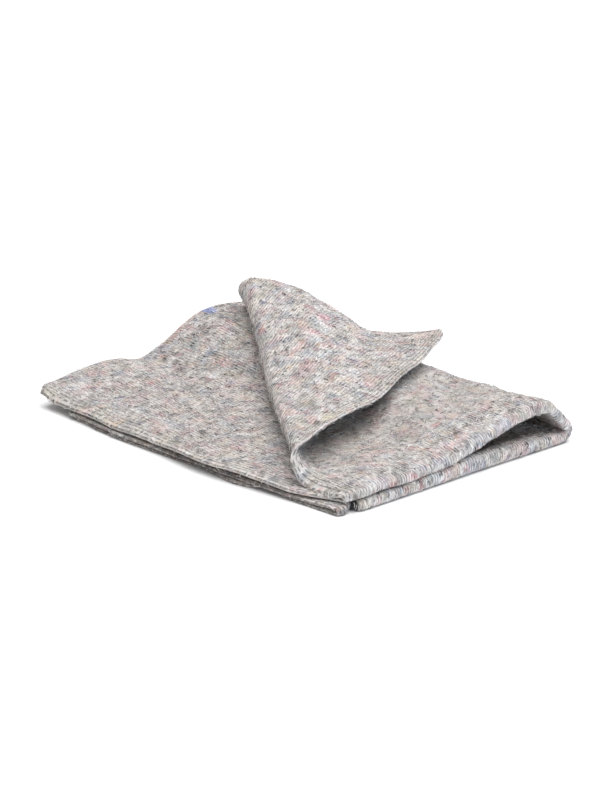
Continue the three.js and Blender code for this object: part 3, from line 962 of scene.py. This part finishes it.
def thread_tree():
    """Round thread along every line of a wire mesh."""
    tree, given = tree_with_inputs(
        "stitching thread",
        [
            ("Thread radius", "NodeSocketFloat"),
            ("Thread sides", "NodeSocketInt"),
            ("Thread", "NodeSocketMaterial"),
        ],
    )
    lines = add_node(tree, "GeometryNodeMeshToCurve", {"Mesh": given["Geometry"]}).outputs[0]
    circle = {"Resolution": given["Thread sides"], "Radius": given["Thread radius"]}
    section = add_node(tree, "GeometryNodeCurvePrimitiveCircle", circle).outputs[0]
    along_lines = {"Curve": lines, "Profile Curve": section, "Fill Caps": True}
    thread = add_node(tree, "GeometryNodeCurveToMesh", along_lines).outputs[0]
    end_tree(tree, thread, given["Thread"])
    return tree


OPEN_AIR = 4 * MM  # a face with less room than this over it is hidden in the folds
FLOOR_AIR = 4 * MM  # and so is one this near to the floor
AIR_STARTS = 1  # how far over a face its room is measured from
FIBRES_ON_ROWS = 0.55  # share of the napped face's fibres that the other face has


def mark_open_air(sheet):
    """Notes on the sheet how thick its fibres stand, and returns where its two faces show."""
    cloth = BVHTree.FromPolygons([v.co for v in sheet.vertices], [p.vertices for p in sheet.polygons])
    shown = np.zeros((2, rows, columns), bool)
    for face, side in enumerate(FACES):
        starts = face_points(side, half_thickness + AIR_STARTS)
        for row in range(rows):
            for column in range(columns):
                start = Vector(starts[row, column])
                outward = Vector(side * normals[row, column])
                clear = start.z > FLOOR_AIR or outward.z > 0
                shown[face, row, column] = clear and cloth.ray_cast(start, outward, OPEN_AIR)[0] is None
    high = np.stack([face_points(side, half_thickness)[..., 2] > FLOOR_AIR for side in FACES])
    values = (shown & high) * np.stack([lerp(FIBRES_ON_ROWS, 1, nap), 0 * nap + FIBRES_ON_ROWS])
    sheet.attributes.new(OPEN_AIR_MAP, "FLOAT", "POINT").data.foreach_set("value", values.reshape(-1))
    return shown


def stitch_lines(shown):
    """A wire mesh of the stitch rows on both faces, wherever they show and aren't covered by the nap."""
    bare = shown & np.stack([nap < NAP_HIDES_THREADS, np.ones_like(nap, bool)])
    in_pitches = across[0] / STITCH_PITCH
    stitched = np.abs(in_pitches - np.round(in_pitches)) < ROW_TOLERANCE
    stitched &= from_long_edge(across[0]) > EDGE_ROUND
    inside_ends = range(len(EDGE_STEPS), rows - len(EDGE_STEPS))
    points, edges = [], []
    for face, side in enumerate(FACES):
        lifted = face_points(side, half_thickness + THREAD_RADIUS * THREAD_LIFT)
        for column in np.flatnonzero(stitched):
            for row in inside_ends:
                if bare[face, row, column]:
                    points.append(lifted[row, column])
                    if row > inside_ends[0] and bare[face, row - 1, column]:
                        edges.append((len(points) - 2, len(points) - 1))
    mesh = bpy.data.meshes.new("stitch_lines")
    mesh.from_pydata(points, edges, [])
    return mesh


# Loose fibres of the rags stand off the felt. They are drawn thicker than life, or they wouldn't show.
FIBRE_SECTION = 0.032  # a fibre's radius as a share of its length
FIBRE_STEPS, FIBRE_SIDES = 3, 3
FIBRE_BOW, FIBRE_LIFT = 0.35, 0.3  # how far its middle strays sideways and up, as shares of its length
FIBRE_TURN = (0.5, 0.4, math.pi)  # how far it rolls, tips and spins at most
FIBRE_PATCH, FIBRE_PATCH_DETAIL, FIBRE_SPREAD = 9, 0, (0.36, 0.64)
FIBRE_FINISH = {"Roughness": 0.9, "Specular IOR Level": 0.2}
FIBRES = [  # name, fibres on a square metre, shortest, longest, seed, colours
    ("white_fibres", 13000, 4, 8, 11, ["#e6e3e0", "#d4cfcc"]),
    ("grey_fibres", 13000, 4, 8, 53, ["#d4cfcc", "#bbb5b1"]),
    ("dark_fibres", 12500, 3, 6, 23, ["#17161a", "#4b4850"]),
    ("dyed_fibres", 1500, 3, 6, 37, ["#9c666b", "#667699", "#a3906f", "#a98f90"]),
]


def fibre_tree():
    """Bent fibres scattered over the cloth wherever it shows, lying at random on it."""
    tree, given = tree_with_inputs(
        "loose fibres",
        [
            ("Fibres per square metre", "NodeSocketFloat"),
            ("Shortest", "NodeSocketFloat"),
            ("Longest", "NodeSocketFloat"),
            ("Seed", "NodeSocketInt"),
            ("Fibre", "NodeSocketMaterial"),
        ],
    )
    ends = {"Start": (-0.5, 0, 0), "Middle": (0, FIBRE_BOW, FIBRE_LIFT), "End": (0.5, 0, 0)}
    bend = {"Resolution": FIBRE_STEPS, **ends}
    path = add_node(tree, "GeometryNodeCurveQuadraticBezier", bend).outputs[0]
    circle = {"Resolution": FIBRE_SIDES, "Radius": FIBRE_SECTION}
    section = add_node(tree, "GeometryNodeCurvePrimitiveCircle", circle).outputs[0]
    along_path = {"Curve": path, "Profile Curve": section, "Fill Caps": True}
    fibre = add_node(tree, "GeometryNodeCurveToMesh", along_path).outputs[0]

    noted = {"Name": OPEN_AIR_MAP}
    open_air = add_node(tree, "GeometryNodeInputNamedAttribute", noted, data_type="FLOAT").outputs[0]
    density = {0: open_air, 1: given["Fibres per square metre"]}
    where_open = add_node(tree, "ShaderNodeMath", density, operation="MULTIPLY").outputs[0]
    scatter = {"Mesh": given["Geometry"], "Density": where_open, "Seed": given["Seed"]}
    points = add_node(tree, "GeometryNodeDistributePointsOnFaces", scatter)
    turns = {0: [-most for most in FIBRE_TURN], 1: FIBRE_TURN, "Seed": given["Seed"]}
    turn = add_node(tree, "FunctionNodeRandomValue", turns, data_type="FLOAT_VECTOR").outputs[0]
    spin = add_node(tree, "FunctionNodeEulerToRotation", {0: turn}).outputs[0]
    turned = {"Rotation": points.outputs["Rotation"], "Rotate By": spin}
    lie = add_node(tree, "FunctionNodeRotateRotation", turned, rotation_space="LOCAL").outputs[0]
    lengths = {2: given["Shortest"], 3: given["Longest"], "Seed": given["Seed"]}
    length = add_node(tree, "FunctionNodeRandomValue", lengths, data_type="FLOAT").outputs[1]
    placed = {"Points": points.outputs["Points"], "Instance": fibre, "Rotation": lie, "Scale": length}
    fibres = add_node(tree, "GeometryNodeInstanceOnPoints", placed).outputs[0]
    end_tree(tree, fibres, given["Fibre"])
    return tree


def fibre_material(name, colours):
    """Loose matte rag fibres, dyed in the colours of several rags."""
    patches = (FIBRE_PATCH, FIBRE_PATCH_DETAIL, FIBRE_SPREAD)
    return patchy_material(name.replace("_", " "), FIBRE_FINISH, *patches, colours)


felt = felt_material()
blanket = add_piece("blanket_sheet", sheet_mesh())
blanket.data.materials.append(felt)

shown = mark_open_air(blanket.data)
lines = add_piece("stitch_lines", stitch_lines(shown))
thread_values = {
    "Thread radius": THREAD_RADIUS * MM,
    "Thread sides": THREAD_SIDES,
    "Thread": thread_material(),
}
thread_mesh = grown(lines, thread_tree(), "stitching_threads", thread_values)
threads = add_piece("stitching_threads", thread_mesh)
bpy.data.objects.remove(lines)

fibre_maker = fibre_tree()
fibres = []
for name, density, shortest, longest, seed, colours in FIBRES:
    values = {
        "Fibres per square metre": density,
        "Shortest": shortest * MM,
        "Longest": longest * MM,
        "Seed": seed,
        "Fibre": fibre_material(name, colours),
    }
    fibres.append(add_piece(name, grown(blanket, fibre_maker, name, values)))

# A white painted floor: plain, matte and pale, and wide enough to fill the picture
FLOOR_HALF = 9.0
FLOOR_FINISH = {"Base Color": colour("#efefef"), "Roughness": 0.9, "Specular IOR Level": 0.1}
floor_mesh = bpy.data.meshes.new("floor")
floor_corners = [(x * FLOOR_HALF, y * FLOOR_HALF, 0) for x, y in ((-1, -1), (1, -1), (1, 1), (-1, 1))]
floor_mesh.from_pydata(floor_corners, [], [(0, 1, 2, 3)])
floor = add_piece("floor", floor_mesh)
floor_paint, _, _ = new_material("white painted floor", FLOOR_FINISH)
floor_mesh.materials.append(floor_paint)

# Soft studio light: a dome that is brightest overhead, and wide far softboxes
DOME_STRENGTH = 1.35
world = bpy.data.worlds.new("studio")
world.use_nodes = True
dome = world.node_tree
direction = add_node(dome, "ShaderNodeTexCoord").outputs["Generated"]
height = add_node(dome, "ShaderNodeSeparateXYZ", {0: direction}).outputs["Z"]
squared = add_node(dome, "ShaderNodeMath", {0: height, 1: height}, operation="MULTIPLY").outputs[0]
strength = add_node(dome, "ShaderNodeMath", {0: squared, 1: DOME_STRENGTH}, operation="MULTIPLY").outputs[0]
dome.links.new(strength, dome.nodes["Background"].inputs["Strength"])
dome.nodes["Background"].inputs["Color"].default_value = (1, 1, 1, 1)
bpy.context.scene.world = world

SOFTBOXES = [  # name, where it stands, width in degrees, strength, colour
    ("overhead_softbox", (0.15, 0.12, 1.0), 70, 3.0, (0.988, 0.98, 0.986)),
    ("side_softbox", (1.0, 0.0, 0.08), 16, 2.1, (0.74, 0.86, 1)),
    ("front_softbox", (0.3, -0.9, 0.35), 60, 0.45, (1, 1, 1)),
]
for softbox, stands, width, energy, tint in SOFTBOXES:
    lamp = bpy.data.lights.new(softbox, "SUN")
    lamp.energy = energy
    lamp.color = tint
    lamp.angle = math.radians(width)
    holder = bpy.data.objects.new(softbox, lamp)
    holder.rotation_mode = "QUATERNION"
    holder.rotation_quaternion = (-Vector(stands)).to_track_quat("-Z", "Y")
    bpy.context.scene.collection.objects.link(holder)

# The camera, at the photograph's angle
CAMERA_AZIMUTH, CAMERA_ELEVATION = math.radians(45.72), math.radians(18.41)
CAMERA_DISTANCE = 4.04905
CAMERA_TARGET = Vector((-0.001634, 0.003873, 0.025))
towards_camera = Vector(
    (
        math.sin(CAMERA_AZIMUTH) * math.cos(CAMERA_ELEVATION),
        -math.cos(CAMERA_AZIMUTH) * math.cos(CAMERA_ELEVATION),
        math.sin(CAMERA_ELEVATION),
    )
)
camera = bpy.data.objects.new("camera", bpy.data.cameras.new("camera"))
camera.data.lens = 180
camera.data.sensor_width = 36
camera.location = CAMERA_TARGET + towards_camera * CAMERA_DISTANCE
camera.rotation_mode = "QUATERNION"
camera.rotation_quaternion = (-towards_camera).to_track_quat("-Z", "Y")
bpy.context.scene.collection.objects.link(camera)
bpy.context.scene.camera = camera
bpy.context.scene.view_settings.view_transform = "Standard"

# The sheet stands for the solid, and its threads and fibres go with it.
for piece in (blanket, threads, *fibres):
    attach(piece, "root")
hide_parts("blanket")
